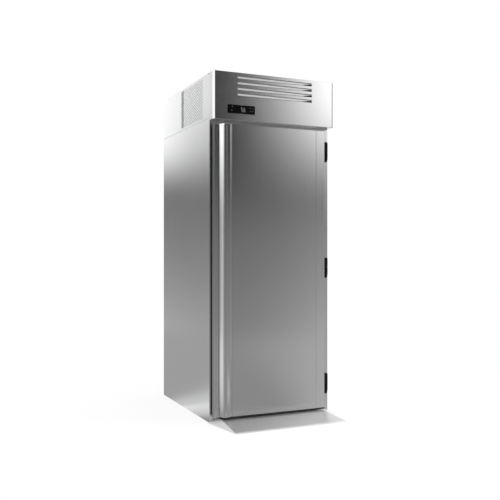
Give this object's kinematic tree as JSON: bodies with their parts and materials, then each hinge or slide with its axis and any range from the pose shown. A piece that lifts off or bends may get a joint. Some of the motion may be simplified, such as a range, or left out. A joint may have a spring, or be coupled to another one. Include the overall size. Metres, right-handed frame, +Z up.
{
  "type": "roll-in refrigerator",
  "caption": "Tall stainless roll-in refrigerator for a trolley, with a full-height hinged door, entry ramp, lifting louvred fascia and a top machine compartment.",
  "frame": {"origin": "centre of the insulated body's footprint, on the floor", "axes": "+Z up, +Y towards the back, +X to the right seen from the front; the door and the ramp face -Y"},
  "size_m": [0.92, 1.367, 2.312],
  "materials": {
    "stainless": "satin",
    "stainless_inner": "satin",
    "handle_steel": "satin",
    "cap_steel": "satin",
    "ramp_steel": "satin",
    "blade_steel": "satin",
    "pin_steel": "satin",
    "galvanised": "satin",
    "foam": "matte",
    "hinge_black": "matte",
    "bumper_plastic": "satin",
    "light_plastic": "satin",
    "guard_black": "satin",
    "fin_aluminium": "satin",
    "motor_black": "satin",
    "compressor_black": "gloss",
    "mount_rubber": "matte",
    "copper": "satin",
    "pipe_foam": "matte",
    "tray_plastic": "matte",
    "box_plastic": "matte",
    "gland_black": "matte",
    "fan_metal": "satin",
    "fan_plastic": "matte",
    "gasket_rubber": "matte",
    "sweep_rubber": "matte",
    "controller_gloss": "gloss"
  },
  "bodies": {
    "cabinet": {"side_panel_left": "stainless", "side_panel_right": "stainless", "back_panel": "galvanised", "roof_sheet": "galvanised", "insulation_left": "foam", "insulation_right": "foam", "insulation_back": "foam", "insulation_top": "foam", "inner_liner": "stainless_inner", "floor_pan": "stainless_inner", "floor_core": "foam", "frame_post_left": "stainless", "frame_post_right": "stainless", "frame_head": "stainless", "entry_ramp": "ramp_steel", "hinge_base_top": "hinge_black", "hinge_base_middle": "hinge_black", "hinge_base_bottom": "hinge_black", "hinge_pins": "pin_steel", "machine_side_left": "stainless", "machine_side_right": "stainless", "machine_back": "galvanised", "fascia_hinge_brackets": "pin_steel", "trolley_bumpers": "bumper_plastic", "air_duct": "stainless_inner", "interior_light": "light_plastic", "ceiling_fan_guard": "guard_black", "evaporator_box": "foam", "evaporator_lid": "foam", "evaporator_coil": "fin_aluminium", "evaporator_fan_motor": "motor_black", "unit_base": "galvanised", "condenser_coil": "fin_aluminium", "condenser_shroud": "guard_black", "condenser_fan_motor": "motor_black", "compressor": "compressor_black", "compressor_mounts": "mount_rubber", "liquid_receiver": "compressor_black", "filter_drier": "copper", "discharge_pipe": "copper", "liquid_pipe": "copper", "suction_pipe": "pipe_foam", "evaporation_tray": "tray_plastic", "electrical_box": "box_plastic", "cable_gland": "gland_black"},
    "door": {"door_skin": "stainless", "door_foam": "foam", "door_liner": "stainless_inner", "door_handle": "handle_steel", "handle_end_caps": "cap_steel", "door_gasket": "gasket_rubber", "door_sweep": "sweep_rubber", "hinge_leaf_top": "hinge_black", "hinge_leaf_middle": "hinge_black", "hinge_leaf_bottom": "hinge_black"},
    "fascia": {"fascia_panel": "stainless", "louvre_blades": "blade_steel", "controller_panel": "controller_gloss"},
    "condenser_fan": {"condenser_fan": "fan_metal"},
    "evaporator_fan": {"evaporator_fan": "fan_plastic"}
  },
  "joints": [
    {"name": "door_hinge", "type": "hinge", "parent": "cabinet", "child": "door", "pos_m": [0.405, -0.5475, 1.017], "axis": [0, 0, 1], "range_deg": [0, 110]},
    {"name": "fascia_lift", "type": "hinge", "parent": "cabinet", "child": "fascia", "pos_m": [0, -0.5175, 2.302], "axis": [-1, 0, 0], "range_deg": [0, 70]},
    {"name": "condenser_fan_spin", "type": "hinge", "parent": "cabinet", "child": "condenser_fan", "pos_m": [0, -0.3735, 2.135], "axis": [0, 1, 0], "continuous": true},
    {"name": "evaporator_fan_spin", "type": "hinge", "parent": "cabinet", "child": "evaporator_fan", "pos_m": [0, 0.2295, 1.979], "axis": [0, 0, 1], "continuous": true}
  ]
}
